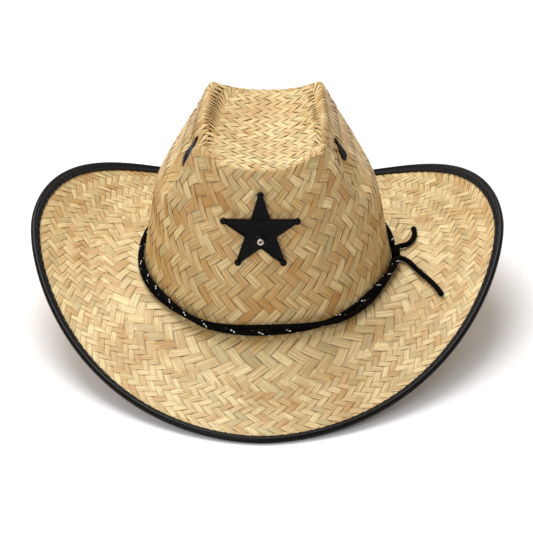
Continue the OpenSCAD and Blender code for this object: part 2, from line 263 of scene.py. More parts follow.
def makePiece(name, points, faceSets, body, material, replaced=(), fields=None, sharp=42):
    points = np.asarray(points, float).reshape(-1, 3)
    faceSets = turnedOutwards(points - points.mean(0), [np.asarray(f) for f in faceSets if len(f)])
    corners = np.concatenate([f.ravel() for f in faceSets])
    sizes = np.concatenate([np.full(len(f), f.shape[1]) for f in faceSets])
    mesh = bpy.data.meshes.new(name)
    mesh.vertices.add(len(points))
    mesh.vertices.foreach_set("co", (points * mm).astype(np.float32).ravel())
    mesh.loops.add(len(corners))
    mesh.loops.foreach_set("vertex_index", corners.astype(np.int32))
    mesh.polygons.add(len(sizes))
    mesh.polygons.foreach_set("loop_start", (np.cumsum(sizes) - sizes).astype(np.int32))
    mesh.update(calc_edges=True)
    mesh.validate()
    for key, values in (fields or {}).items():
        values = np.asarray(values, np.float32)
        kind = "FLOAT" if values.ndim == 1 else "FLOAT_VECTOR"
        layer = mesh.attributes.new(key, kind, "POINT")
        layer.data.foreach_set("value" if kind == "FLOAT" else "vector", values.ravel())
    mesh.shade_smooth()
    mesh.set_sharp_from_angle(angle=math.radians(sharp))
    mesh.materials.append(material)
    piece = bpy.data.objects.new(name, mesh)
    bpy.context.scene.collection.objects.link(piece)
    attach(piece, body)
    if replaced:
        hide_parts(*replaced)
    return piece


# each part is (points, face sets, fields)
def joined(parts):
    points, faceSets, fields = [], [], {}
    start = 0
    for partPoints, partFaces, partFields in parts:
        points.append(partPoints)
        faceSets += [np.asarray(f) + start for f in partFaces]
        for key, values in partFields.items():
            fields.setdefault(key, []).append(values)
        start += len(partPoints)
    return np.concatenate(points), faceSets, {key: np.concatenate(v) for key, v in fields.items()}


# a short way to write a material's nodes down
class Nodes:
    def __init__(self, name, **sockets):
        self.material = bpy.data.materials.new(name)
        self.material.use_nodes = True
        self.tree = self.material.node_tree
        self.shader = self.tree.nodes["Principled BSDF"]
        for key, value in sockets.items():
            self.shader.inputs[key.replace("_", " ")].default_value = value

    def feed(self, socket, value):
        if isinstance(value, bpy.types.NodeSocket):
            self.tree.links.new(value, socket)
        else:
            socket.default_value = value

    def add(self, kind, *values, **settings):
        node = self.tree.nodes.new(kind)
        for key, value in settings.items():
            setattr(node, key, value)
        for socket, value in zip(node.inputs, values):
            if value is not None:
                self.feed(socket, value)
        return node

    def field(self, name, part="Vector"):
        return self.add("ShaderNodeAttribute", attribute_name=name).outputs[part]

    def split(self, vector):
        return self.add("ShaderNodeSeparateXYZ", vector).outputs

    def join(self, x, y, z):
        return self.add("ShaderNodeCombineXYZ", x, y, z).outputs[0]

    def sum(self, operation, a, b=0.0, c=0.0):
        return self.add("ShaderNodeMath", a, b, c, operation=operation).outputs[0]

    def noise(self, vector, scale, detail=2.0, roughness=0.5):
        node = self.add("ShaderNodeTexNoise")
        self.feed(node.inputs["Vector"], vector)
        self.feed(node.inputs["Scale"], scale)
        self.feed(node.inputs["Detail"], detail)
        self.feed(node.inputs["Roughness"], roughness)
        return node.outputs["Fac"]

    def span(self, value, fromLow, fromHigh, toLow, toHigh):
        node = self.add("ShaderNodeMapRange", value, fromLow, fromHigh, toLow, toHigh)
        return node.outputs[0]

    def mix(self, share, a, b, blend="MIX"):
        node = self.tree.nodes.new("ShaderNodeMix")
        node.data_type = "RGBA"
        node.blend_type = blend
        self.feed(node.inputs["Factor"], share)
        self.feed(node.inputs[6], a)    # 6 and 7 are the colour sockets
        self.feed(node.inputs[7], b)
        return node.outputs[2]

    def bump(self, height, strength, distance):
        node = self.tree.nodes.new("ShaderNodeBump")
        self.feed(node.inputs["Strength"], strength)
        self.feed(node.inputs["Distance"], distance)
        self.feed(node.inputs["Height"], height)
        self.tree.links.new(node.outputs[0], self.shader.inputs["Normal"])

    def colour(self, value):
        self.feed(self.shader.inputs["Base Color"], value)

    def rough(self, value):
        self.feed(self.shader.inputs["Roughness"], value)


# a colour given as it looks, from 0 to 255
def tint(red, green, blue):
    def straight(value):
        value /= 255
        return value / 12.92 if value <= 0.04045 else ((value + 0.055) / 1.055) ** 2.4
    return (straight(red), straight(green), straight(blue), 1)


palmLook = {
    "tan": tint(190, 150, 88),
    "cream": tint(238, 216, 160),
    "ochre": tint(180, 130, 60),
    "sage": tint(184, 170, 120),
    # dark brown for the grain's hairlines, and for the painted shade along the strips' edges
    "hairlineAndEdgeShade": tint(84, 52, 20),
}


def palmMaterial():
    n = Nodes("palm", Roughness=0.45, Specular_IOR_Level=0.45)
    along, across, seed = n.split(n.field("strand"))
    light, ochre, sage = n.split(n.field("tone"))
    edge = n.field("margin", "Fac")
    fibres = n.join(n.sum("MULTIPLY", along, 0.045), n.sum("MULTIPLY", across, 2.4), seed)
    grain = n.noise(fibres, 1.0, 4.0, 0.65)
    stainAt = n.join(n.sum("MULTIPLY", along, 0.11), n.sum("MULTIPLY", across, 0.35),
                     n.sum("ADD", seed, 5.0))
    stain = n.noise(stainAt, 1.0, 2.0)
    bandsAt = n.join(n.sum("MULTIPLY", along, 0.022), n.sum("MULTIPLY", across, 0.75),
                     n.sum("ADD", seed, 9.0))
    bands = n.noise(bandsAt, 1.0, 2.0, 0.6)
    paler = n.span(bands, 0.32, 0.68, -0.45, 0.45)
    base = n.mix(n.sum("ADD", light, paler), palmLook["tan"], palmLook["cream"])
    base = n.mix(ochre, base, palmLook["ochre"])
    base = n.mix(sage, base, palmLook["sage"])
    base = n.mix(n.span(stain, 0.52, 0.8, 0, 0.4), base, palmLook["ochre"])
    place = n.split(n.add("ShaderNodeTexCoord").outputs["Object"])
    patchAt = n.join(n.sum("MULTIPLY", place[0], 16.0), n.sum("MULTIPLY", place[1], 16.0),
                     n.sum("MULTIPLY", place[2], 42.0))
    patches = n.noise(patchAt, 1.0, 2.0, 0.6)
    base = n.mix(n.span(patches, 0.5, 0.72, 0, 0.45), base, palmLook["ochre"])
    streak = n.span(grain, 0.3, 0.7, 0.72, 1.12)
    base = n.mix(1.0, base, n.join(streak, streak, streak), "MULTIPLY")
    hairline = n.span(grain, 0.62, 0.7, 0, 0.55)
    base = n.mix(hairline, base, palmLook["hairlineAndEdgeShade"])
    # painted shade: each strip is darkened towards its edges, standing in for the shadow where it dives under
    # its neighbours
    base = n.mix(n.span(edge, 0.82, 1.0, 0, 0.62), base, palmLook["hairlineAndEdgeShade"])
    n.colour(base)
    n.rough(n.span(grain, 0.3, 0.7, 0.42, 0.6))
    n.bump(grain, 0.5, 0.00012)
    return n.material


palm = palmMaterial()


# the palm is plaited from strips of two families that pass over two and under two

plait = {
    "strips": 64,             # of each family round the crown
    "wallRows": 14,
    "innerRows": 3.6,         # from the crown to where the strips are split in two
    "outerRows": 7.6,
    "splitAt": 0.42,
    "topUnit": 7.0,
    "thickness": 0.38,
    "swing": 0.42,
    "stepsPerCell": 4,
    "fill": 0.975,            # share of its lane that a strip takes up
    "sink": 0.8,              # the middle of the plait lies this far under the outer face
    "edgeDrop": 0.12,         # the strips are bowed, so their edges lie lower
    "sunkOver": 0.8,          # an end sinks away over this many cells
    "looks": 9973,            # so many different floats before their tones repeat
}
stripLook = {
    # the wall's strips are made darker and more ochre, as painted shade on the crown's sides; the top's and
    # the brim's strips are made lighter by the given amounts
    "wall": {"tuck": 0.9, "ochre": 1.1, "light": -0.2},
    "top": {"swing": 0.4, "tuck": 0.7, "light": 0.24, "sway": 2.5, "ochre": 0.6, "fill": 0.92},
    "inner": {"tuck": 0.25, "light": 0.12, "ochre": 0.8, "fill": 0.97},
    "outer": {"tuck": 0.7, "light": 0.1, "ochre": 0.85, "swing": 0.34, "fill": 0.97},
}


def flattened(wave, sharpness=1.9):
    return np.tanh(sharpness * wave) / math.tanh(sharpness)


def stripWave(family, strip, other):
    lag = 0 if family == "rising" else 3
    return flattened(np.cos(math.pi / 2 * (other - strip - lag)))


# strips are lane numbers of one family, and fromV and toV say where each strip begins and ends
def ribbons(family, strips, fromV, toV, place, dice, options):
    lanes = np.asarray(strips, float)[:, None]
    cells = 2 * float(np.mean(toV - fromV))
    count = max(4, int(round(abs(cells) * plait["stepsPerCell"]))) + 1
    share = np.linspace(0, 1, count)[None, :]
    v = fromV[:, None] + (toV - fromV)[:, None] * share
    middle = lanes + 0.5
    sense = -1 if family == "rising" else 1
    other = middle + sense * 2 * v                     # the coordinate along the strip
    phase = dice.uniform(0, turn, (4, len(lanes), 1))
    sway = 0.022 * np.sin(other * 0.9 + phase[0]) + 0.018 * np.sin(other * 2.3 + phase[1])
    sway = sway * options.get("sway", 1)
    half = 0.5 * options.get("fill", plait["fill"]) * (1 + 0.035 * np.sin(other * 0.7 + phase[2])
                                                       + 0.03 * np.sin(other * 2.9 + phase[3]))
    half = half + dice.normal(0, 0.012, (len(lanes), 1))
    if "narrow" in options:
        half = half * options["narrow"]((middle + other) / 2, v)
    acrossSteps = np.array([-1, -0.6, 0.6, 1])
    drop = np.array([-1, 0, 0, -1]) * plait["edgeDrop"]
    q = acrossSteps[None, None, :]
    laneAt = middle[..., None] + sway[..., None] + half[..., None] * q
    otherAt = np.broadcast_to(other[..., None], laneAt.shape)
    a, b = (laneAt, otherAt) if family == "rising" else (otherAt, laneAt)
    u = (a + b) / 2
    w = (a - b) / 2
    wave = stripWave(family, lanes[..., None], otherAt)
    # every float, the stretch that shows between two dips, gets a row of chances of its own
    lag, shift = (0, 0) if family == "rising" else (3, 31)
    floatIndex = np.floor((otherAt[..., :1] - lanes[..., None] - lag + 1) / 2)
    key = (floatIndex * 131 + lanes[..., None] * 977 + shift).astype(np.int64) % plait["looks"]
    shuffled = dice.random((plait["looks"], 6))
    chance = shuffled[key[..., 0]]
    swing = options.get("swing", plait["swing"]) * (0.9 + 0.25 * chance[..., :1])
    tilt = (chance[..., 1:2] - 0.5) * 0.18
    rise = wave * swing + drop + tilt * q
    nearEnd = np.minimum(share, 1 - share) * abs(cells)
    rise = rise - options["tuck"] * np.clip(1 - nearEnd / plait["sunkOver"], 0, 1)[..., None] ** 2
    rise = rise - plait["sink"]
    thickness = plait["thickness"]
    topPoints = place(u, w, rise + thickness / 2)
    underPoints = place(u, w, rise - thickness / 2)
    ring = np.concatenate([topPoints, underPoints[..., ::-1, :]], 2)
    lanesCount, steps, sides = ring.shape[:3]
    points = ring.reshape(-1, 3)
    tubes = gridFaces(steps, sides, wrapColumns=True)
    caps = np.array([[0, 1, 6, 7], [1, 2, 5, 6], [2, 3, 4, 5]])
    one = np.concatenate([tubes, caps, (caps + (steps - 1) * sides)[:, ::-1]])
    faces = (one[None] + (np.arange(lanesCount) * steps * sides)[:, None, None]).reshape(-1, 4)
    span = np.linalg.norm(np.diff(topPoints[:, :, 1], axis=1), axis=-1)
    along = np.concatenate([np.zeros((lanesCount, 1)), np.cumsum(span, 1)], 1)
    wide = np.linalg.norm(topPoints[:, :, 3] - topPoints[:, :, 0], axis=-1)
    side = np.concatenate([acrossSteps, acrossSteps[::-1]])
    seed = dice.uniform(0, 400, (lanesCount, 1, 1)) + np.zeros((lanesCount, steps, sides))
    seed = seed + chance[..., 5:6] * 3
    strand = np.stack([np.broadcast_to(along[..., None], seed.shape),
                       wide[..., None] / 2 * side[None, None, :], seed], -1)
    stripTone = dice.random((lanesCount, 1, 3))
    light = 0.28 + 0.5 * chance[..., 2] + 0.35 * (stripTone[..., 0] - 0.5)
    light = np.clip(light + options["light"], 0, 1)
    ochre = np.clip((chance[..., 3] * 0.7 + stripTone[..., 1] * 0.5 - 0.62) * 1.6, 0, 0.85)
    ochre = ochre * options["ochre"]
    sage = np.clip((chance[..., 4] * 0.7 + stripTone[..., 2] * 0.5 - 0.76) * 2.0, 0, 0.65)
    tone = np.broadcast_to(np.stack([light, ochre, sage], -1)[:, :, None, :], strand.shape)
    # margin, the place across the strip, drives the painted shade along each strip's edges in the palm
    # material
    margin = np.broadcast_to(abs(side), seed.shape)
    return points, [faces], {"strand": strand.reshape(-1, 3), "tone": tone.reshape(-1, 3),
                             "margin": margin.reshape(-1)}


# the crown's wall runs up and over the ridges, and ends a little way inside them

seam = {"halfWidth": 31, "closing": 3.5, "front": 71, "back": 72, "power": 4}


def seamRun(angle):
    c = abs(np.cos(angle)) * hat["headWidth"] / 2
    s = np.sin(angle)
    wide = seam["halfWidth"] - seam["closing"] * s
    long = np.where(s < 0, seam["front"], seam["back"])
    p = seam["power"]
    return ((c / wide) ** p + (abs(s) * hat["headLength"] / 2 / long) ** p) ** (-1 / p)


def makeWallTable():
    angles = np.linspace(0, turn, 361)
    runs = np.linspace(1, 0.2, 400)
    grid = headOval(angles)[:, None, :] * runs[None, :, None]
    heights = crownHeight(grid[..., 0], grid[..., 1])
    surface = np.concatenate([grid, heights[..., None]], -1)
    steps = np.linalg.norm(np.diff(surface, axis=1), axis=-1) / np.sqrt(runs[1:])
    travelled = np.concatenate([np.zeros((len(angles), 1)), np.cumsum(steps, 1)], 1)
    rows = np.linspace(0, plait["wallRows"] * 1.1, 300)
    table = np.empty((len(angles), len(rows)))
    for i, angle in enumerate(angles):
        full = np.interp(-seamRun(angle), -runs, travelled[i])
        table[i] = np.interp(rows, travelled[i] / full * plait["wallRows"], runs)
    return rows, table


wallRows, wallTable = makeWallTable()


def wallRun(angle, v):
    column = np.clip(v / wallRows[-1] * (len(wallRows) - 1), 0, len(wallRows) - 1.001)
    row = (angle % turn) / turn * (len(wallTable) - 1)
    i = np.minimum(row.astype(int), len(wallTable) - 2)
    j = column.astype(int)
    fi = row - i
    fj = column - j
    low = wallTable[i, j] * (1 - fj) + wallTable[i, j + 1] * fj
    high = wallTable[i + 1, j] * (1 - fj) + wallTable[i + 1, j + 1] * fj
    return low * (1 - fi) + high * fi


def wallPlace(u, v, height):
    angle = ovalAngle(u / plait["strips"])
    plan = headOval(angle) * wallRun(angle, np.maximum(v, 0))[..., None]
    return crownPoint(plan[..., 0], plan[..., 1], height + 0.2)[0]


# where the strips draw together and leave open slots, on both sides of the ridges
def slots(x, y):
    half = ridgeLine(y)[1]
    aside = abs(x + hat["topAside"])
    outer = np.exp(-((aside - half - 7) / 3.2) ** 2)
    inner = np.exp(-((aside - half + 8) / 4.0) ** 2)
    reach = np.clip((y + 45) / 15, 0, 1) * np.clip((70 - y) / 12, 0, 1)
    return 1 - np.maximum(0.3 * outer, 0.46 * inner) * reach


def wallNarrow(u, v):
    angle = ovalAngle(u / plait["strips"])
    plan = headOval(angle) * wallRun(angle, np.maximum(v, 0))[..., None]
    return slots(plan[..., 0], plan[..., 1])


def makeCrownWall():
    for family in ("rising", "falling"):
        dice = np.random.default_rng(11 if family == "rising" else 12)
        count = plait["strips"]
        fromV = np.full(count, -0.02)
        toV = plait["wallRows"] + dice.uniform(-0.1, 0.5, count)
        points, faces, fields = ribbons(family, np.arange(count), fromV, toV, wallPlace, dice,
                                        dict(stripLook["wall"], narrow=wallNarrow))
        makePiece("crown_wall_" + family, points, faces, "hat", palm, ["crown"], fields)


def topPlace(u, v, height):
    unit = plait["topUnit"]
    return crownPoint(u * unit, v * unit, height + 0.1)[0]


def makeCrownTop():
    unit = plait["topUnit"]
    for family in ("rising", "falling"):
        dice = np.random.default_rng(21 if family == "rising" else 22)
        parts = []
        reach = int(160 / unit)
        for lane in range(-reach, reach):
            v = np.arange(-90 / unit, 90 / unit, 0.06)
            other = lane + 0.5 - 2 * v if family == "rising" else lane + 0.5 + 2 * v
            u = (lane + 0.5 + other) / 2
            x = u * unit
            y = v * unit
            run = np.hypot(x / hat["headWidth"] * 2, y / hat["headLength"] * 2)
            angle = np.arctan2(y / hat["headLength"], x / hat["headWidth"])
            inside = run < seamRun(angle) + 0.045
            if inside.sum() < 20:
                continue
            edges = np.flatnonzero(np.diff(np.concatenate([[0], inside.astype(int), [0]])))
            for first, last in zip(edges[::2], edges[1::2]):
                if last - first > 16:
                    parts.append(ribbons(family, [lane], v[[first]], v[[last - 1]], topPlace, dice,
                                         stripLook["top"]))
        points, faces, fields = joined(parts)
        makePiece("crown_top_" + family, points, faces, "hat", palm, ["crown"], fields)


def innerPlace(u, v, height):
    angle = ovalAngle(u / plait["strips"])
    run = -v / plait["innerRows"] * plait["splitAt"]
    return brimPoint(angle, run, height)[0]


def outerPlace(u, v, height):
    angle = ovalAngle(u / plait["strips"] / 2)
    end = 1 - hat["edgeGap"] / edgeReach(angle)
    share = (-v - 2 * plait["innerRows"]) / plait["outerRows"]
    return brimPoint(angle, plait["splitAt"] + share * (end - plait["splitAt"]), height)[0]


def makeBrim():
    for family in ("rising", "falling"):
        dice = np.random.default_rng(31 if family == "rising" else 32)
        count = plait["strips"]
        # strips are numbered by where they cross the break line
        fromV = np.full(count, 0.0)
        toV = -plait["innerRows"] - dice.uniform(0.2, 0.9, count)
        points, faces, fields = ribbons(family, np.arange(count), fromV, toV, innerPlace, dice,
                                        stripLook["inner"])
        makePiece("brim_inner_" + family, points, faces, "hat", palm, ["brim"], fields)
        count = 2 * count
        fromV = -2 * plait["innerRows"] + dice.uniform(0.8, 1.6, count)
        toV = np.full(count, -2 * plait["innerRows"] - plait["outerRows"])
        points, faces, fields = ribbons(family, np.arange(count), fromV, toV, outerPlace, dice,
                                        stripLook["outer"])
        makePiece("brim_outer_" + family, points, faces, "hat", palm, ["brim"], fields)


makeCrownWall()
print("crown wall plaited")
makeCrownTop()
print("crown top plaited")
makeBrim()
print("brim plaited")


binding = {
    "width": 7.8,             # under the brim
    "front": 4.9,             # on top, at the front and at the back
    "back": 8.8,
    "flangeFrom": 3.4,
    "thickness": 0.6,
    "gap": 0.15,
    "bead": 2.2,
    "stations": 1500,
    "stitches": 160,
    "border": 1.4,            # between the stitches and the tape's border
    "threadRadius": 0.25,
}


def tapeTop(angle):
    middle = (binding["front"] + binding["back"]) / 2
    return middle + (binding["back"] - middle) * np.sin(angle)


def vinylMaterial():
    n = Nodes("bindingVinyl", Specular_IOR_Level=0.12)
    along, inset, face = n.split(n.field("strand"))
    ribsAt = n.join(n.sum("MULTIPLY", along, 1.5), n.sum("MULTIPLY", inset, 0.25), face)
    ribs = n.noise(ribsAt, 1.0, 2.0, 0.5)
    puckers = n.sum("SINE", n.sum("MULTIPLY", along, 2.7))
    ribs = n.sum("ADD", ribs, n.sum("MULTIPLY", puckers, n.span(inset, 3.8, 5.0, 0, 0.3)))
    grain = n.noise(n.join(along, inset, face), 3.0, 2.0, 0.6)
    dust = n.span(grain, 0.35, 0.75, 0, 1)
    n.colour(n.mix(dust, tint(7, 6, 6), tint(22, 19, 17)))
    gloss = n.span(inset, 3.2, 4.2, 0.2, 0.44)
    n.rough(n.sum("ADD", gloss, n.span(ribs, 0.3, 0.7, -0.06, 0.1)))
    n.bump(n.sum("ADD", n.sum("MULTIPLY", ribs, 0.8), n.sum("MULTIPLY", grain, 0.2)), 0.6, 0.0003)
    return n.material


def threadMaterial(name, colour, worn):
    n = Nodes(name, Roughness=0.75)
    along, around, seed = n.split(n.field("strand"))
    twist = n.noise(n.join(n.sum("ADD", along, n.sum("MULTIPLY", around, 0.6)), seed, 0.0), 4.0, 2.0)
    n.colour(n.mix(twist, colour, worn))
    n.bump(twist, 0.5, 0.0001)
    return n.material


def makeBinding():
    face = hat["palmThickness"] / 2 + binding["gap"]
    thick = binding["thickness"]
    bead = binding["bead"]
    width = binding["width"]
    upper = [(width, face + 0.05), (width - 0.05, face + thick * 0.6), (width - 0.35, face + thick),
             (width - 1.0, face + thick), (width - binding["border"], face + thick - 0.1),
             (5.8, face + thick), (5.0, face + thick), (4.3, face + thick + 0.02), (3.6, face + thick + 0.05)]
    bulge = np.radians(np.arange(125, -126, -12.5))
    swell = [(min(bead - bead * math.cos(t), 3.3), bead * math.sin(t)) for t in bulge]
    lower = [(x, -y) for x, y in reversed(upper)]
    hollow = bead - thick
    bend = np.radians([-50, -25, 0, 25, 50])
    fold = [(bead - hollow * math.cos(t), hollow * math.sin(t)) for t in bend]
    goingIn = [(width - 0.1, -face), (5.5, -face), (3.4, -face)]
    comingOut = [(3.4, face), (5.5, face), (width - 0.1, face)]
    section = np.array(upper + swell + lower + goingIn + fold + comingOut)
    count = binding["stations"]
    angle = np.linspace(0, turn, count, endpoint=False)[:, None]
    dice = np.random.default_rng(41)
    along = pathLength(edgeLine(angle[:, 0]))
    inset = np.broadcast_to(section[:, 0], (count, len(section))).copy()
    height = np.broadcast_to(section[:, 1], (count, len(section))).copy()
    flange = (section[:, 0] > binding["flangeFrom"]) & (section[:, 1] > 0)
    spread = (tapeTop(angle) - binding["flangeFrom"]) / (width - binding["flangeFrom"])
    inset = np.where(flange, binding["flangeFrom"] + (inset - binding["flangeFrom"]) * spread, inset)
    wrinkle = np.zeros(count)
    for _ in range(9):
        wave = dice.integers(180, 520)
        wrinkle += np.sin(wave * angle[:, 0] + dice.uniform(0, turn)) / 9
    onFlange = np.clip((section[:, 0] - 3.8) / 1.2, 0, 1) * (abs(section[:, 1]) > face + 0.2)
    height += np.sign(section[:, 1]) * onFlange * wrinkle[:, None] * 0.42
    pulled = 0.16 * np.sin(binding["stitches"] * angle) + 0.2 * wrinkle[:, None]
    inset += pulled * (section[:, 0] > 6.6)
    points = onEdge(angle, inset, height)
    faces = gridFaces(count, len(section), wrapRows=True, wrapColumns=True)
    strand = np.stack([np.broadcast_to(along[:, None], inset.shape), inset,
                       np.broadcast_to(np.sign(section[:, 1]) * 9, inset.shape)], -1)
    makePiece("binding_tape", points, [faces], "hat", vinylMaterial(), ["brim_binding"],
              {"strand": strand.reshape(-1, 3)}, sharp=60)


# each stitch is a bent length of thread whose ends dive into the cloth
def threadRun(middle, along, up, length, radius, bow):
    rings = 7
    sides = 6
    t = np.linspace(-1, 1, rings)
    centre = middle[:, None] + along[:, None] * (t * length / 2)[None, :, None]
    centre = centre + up[:, None] * (bow * (1 - t ** 4) - bow * 0.6)[None, :, None]
    side = unitRows(np.cross(along, up))
    around = np.arange(sides) * turn / sides
    ring = (side[:, None, None] * np.cos(around)[None, None, :, None]
            + up[:, None, None] * np.sin(around)[None, None, :, None]) * radius
    points = centre[:, :, None] + ring
    count = len(middle)
    one = gridFaces(rings, sides, wrapColumns=True)
    base = (np.arange(count) * rings * sides)[:, None, None]
    tubes = (one[None] + base).reshape(-1, 4)
    ends = (endCaps(rings, sides)[None] + base).reshape(-1, sides)
    length = np.broadcast_to((t * length / 2)[None, :, None], points.shape[:3])
    strand = np.stack([length, np.broadcast_to(around[None, None, :], length.shape),
                       np.broadcast_to(np.arange(count)[:, None, None] * 1.7, length.shape)], -1)
    return points.reshape(-1, 3), [tubes, ends], {"strand": strand.reshape(-1, 3)}


def makeBindingStitches():
    count = binding["stitches"]
    angle = np.arange(count) * turn / count
    parts = []
    height = hat["palmThickness"] / 2 + binding["gap"] + binding["thickness"]
    along = unitRows(edgeLine(angle + 0.01) - edgeLine(angle - 0.01))
    for face in (1, -1):
        inset = (tapeTop(angle) if face > 0 else binding["width"] + 0 * angle) - binding["border"]
        middle = onEdge(angle, inset, face * (height + 0.02))
        up = unitRows(onEdge(angle, inset, face * (height + 1)) - middle)
        parts.append(threadRun(middle, along, up, 4.4, binding["threadRadius"], 0.3))
    points, faces, fields = joined(parts)
    thread = threadMaterial("blackThread", tint(10, 9, 9), tint(40, 37, 35))
    makePiece("binding_thread", points, faces, "hat", thread, ["binding_stitches"], fields)


makeBinding()
makeBindingStitches()
print("binding made")


cord = {
    "radius": 1.9,
    "gap": 0.4,
    "twist": ((5, -540), (35, -540), (155, -180), (217, -180), (275, 0), (333, 180), (391, 360)),
    "start": 5,
    "end": 355.5,
    "plies": 3,
    "lay": 10,
    "groove": 0.16,
    "sides": 18,
    "spacing": 0.8,
    "fleckEvery": 6.2,
    "fuzzPerMm": 3.0,
}
upperRoute = [(92.6, 7.4, 42.1), (93.8, 9.6, 41.7), (95.4, 11.2, 41.4), (97.4, 12.2, 41.3), (99.6, 13, 41.4),
              (101.6, 14.4, 41.5), (103.1, 16.4, 41.6), (104.3, 18.8, 41.7), (105.2, 21.4, 41.8),
              (105.9, 24, 41.9), (106.4, 26.7, 41.9), (106.6, 29.4, 41.9), (106.5, 32.1, 41.8),
              (106.2, 34.8, 41.7), (105.7, 37.4, 41.6)]
lowerRoute = [(93.4, -5.6, 41.9), (96.4, -6, 41.5), (99.2, -7.6, 41.3), (101.7, -10.5, 41.3),
              (103.7, -14.2, 41.4), (105.6, -18.2, 41.4), (108.2, -22.8, 41.4), (111, -27.8, 41.3),
              (113.9, -32.6, 41.2), (116.7, -37.2, 41.1), (119.1, -41.5, 40.8), (121.1, -45.6, 40.6),
              (122.6, -49, 40.3), (123.6, -51.8, 40.1), (124.4, -54.4, 39.9)]


def yarnMaterial(name):
    n = Nodes(name, Roughness=0.95, Specular_IOR_Level=0.05)
    along, around, seed = n.split(n.field("strand"))
    hairs = n.noise(n.join(n.sum("ADD", n.sum("MULTIPLY", along, 1.3), n.sum("MULTIPLY", around, 1.1)),
                           n.sum("MULTIPLY", around, 3.0), seed), 1.4, 3.0, 0.65)
    n.colour(n.mix(n.span(hairs, 0.4, 0.75, 0, 1), tint(4, 4, 4), tint(22, 18, 16)))
    n.bump(hairs, 0.9, 0.0004)
    return n.material


def smoothRoute(route, spacing):
    points = np.array(route, float)
    padded = np.concatenate([[2 * points[0] - points[1]], points, [2 * points[-1] - points[-2]]])
    t = np.linspace(0, 1, 12, endpoint=False)[:, None]
    pieces = []
    for i in range(len(points) - 1):
        a, b, c, d = padded[i:i + 4]
        pieces.append(0.5 * (2 * b + (c - a) * t + (2 * a - 5 * b + 4 * c - d) * t ** 2
                             + (3 * b - a - 3 * c + d) * t ** 3))
    fine = np.concatenate(pieces + [points[-1:]])
    return evenly(fine, spacing)


def evenly(path, spacing):
    travelled = pathLength(path)
    count = max(3, int(round(travelled[-1] / spacing)) + 1)
    at = np.linspace(0, travelled[-1], count)
    return np.stack([np.interp(at, travelled, path[:, k]) for k in range(3)], -1)


def carriedFrames(path, first=(0, 0, 1)):
    along = unitRows(np.gradient(path, axis=0))
    up = np.empty_like(path)
    last = np.array(first, float)
    for i, direction in enumerate(along):
        last = last - direction * (last @ direction)
        last = last / np.linalg.norm(last)
        up[i] = last
    return along, up, np.cross(along, up)


# a cord of twisted plies along a path, with rounded ends
def yarn(path, radius, seed, flare=0.0):
    up, side = carriedFrames(path)[1:]
    travelled = pathLength(path)
    sides = cord["sides"]
    around = np.arange(sides) * turn / sides
    ply = abs(np.cos(cord["plies"] / 2 * (around[None, :] - travelled[:, None] / cord["lay"] * turn)))
    rough = np.random.default_rng(seed).normal(0, 0.02, (len(path), sides))
    reach = radius * (1.03 - cord["groove"] * (1 - ply ** 0.8) + rough)
    fromEnd = np.minimum(travelled, travelled[-1] - travelled)[:, None]
    roundEnd = np.sqrt(np.clip(1 - (1 - np.clip(fromEnd / 1.2, 0, 1)) ** 2, 0.2, 1))
    toEnd = (travelled[-1] - travelled)[:, None]
    reach = reach * roundEnd * (1 + flare * np.exp(-((toEnd - 2) / 2.5) ** 2))
    ring = (up[:, None] * np.cos(around)[None, :, None] + side[:, None] * np.sin(around)[None, :, None])
    points = path[:, None] + ring * reach[..., None]
    faces = gridFaces(len(path), sides, wrapColumns=True)
    strand = np.stack([np.broadcast_to(travelled[:, None], ply.shape),
                       np.broadcast_to(around[None, :] * radius, ply.shape),
                       np.full(ply.shape, seed * 3.1)], -1)
    return points.reshape(-1, 3), [faces, endCaps(len(path), sides)], {"strand": strand.reshape(-1, 3)}


# loose fibres, each a thin closed spike that leaves the cord at a slant; splay more fan out at its end
def fuzz(path, radius, count, seed, splay=0):
    dice = np.random.default_rng(seed)
    along, up, side = carriedFrames(path)
    at = dice.integers(1, len(path) - 1, count)
    if splay:
        at = np.concatenate([at, np.full(splay, len(path) - 2)])
        count = len(at)
    around = dice.uniform(0, turn, count)
    out = up[at] * np.cos(around)[:, None] + side[at] * np.sin(around)[:, None]
    root = path[at] + out * radius * 0.93
    lean = dice.normal(0, 0.9, (count, 1))
    across = np.cross(along[at], out)
    tip = root + unitRows(out * dice.uniform(0.35, 1, (count, 1)) + along[at] * lean
                          + across * dice.normal(0, 0.7, (count, 1))) * dice.uniform(0.3, 0.95, (count, 1))
    if splay:
        ends = slice(count - splay, count)
        fan = unitRows(along[at[ends]] + out[ends] * 0.35)
        tip[ends] = root[ends] + fan * dice.uniform(1.2, 2.6, (splay, 1))
    a = unitRows(np.cross(tip - root, out + 0.01)) * 0.035
    b = unitRows(np.cross(tip - root, a)) * 0.035
    points = np.stack([root + a, root - a * 0.5 + b, root - a * 0.5 - b, tip], 1).reshape(-1, 3)
    one = np.array([[0, 1, 2], [0, 3, 1], [1, 3, 2], [2, 3, 0]])
    faces = (one[None] + (np.arange(count) * 4)[:, None, None]).reshape(-1, 3)
    strand = np.repeat(np.stack([at, around, np.full(count, 3.0)], -1), 4, axis=0)
    return points, [faces], {"strand": strand}


def bandPath(sense):
    degrees = np.linspace(cord["start"], cord["end"], 900)
    angle = np.radians(degrees)
    phase = np.radians(np.interp(degrees, *zip(*cord["twist"])))
    plan = headOval(angle)
    out = crownPoint(plan[:, 0], plan[:, 1])[1]
    up = unitRows(np.array([[0, 0, 1]]) - out * out[:, 2:])
    pair = cord["radius"] * 1.04
    base = cord["radius"] + cord["gap"]
    away = base + pair * np.sqrt(np.sin(phase) ** 2 + 0.02) + sense * pair * np.sin(phase)
    above = base + pair * np.sqrt(np.cos(phase) ** 2 + 0.02) + sense * pair * np.cos(phase)
    foot = np.concatenate([plan, breakHeight(angle)[:, None]], -1)
    return evenly(foot + out * away[:, None] + up * above[:, None], cord["spacing"])


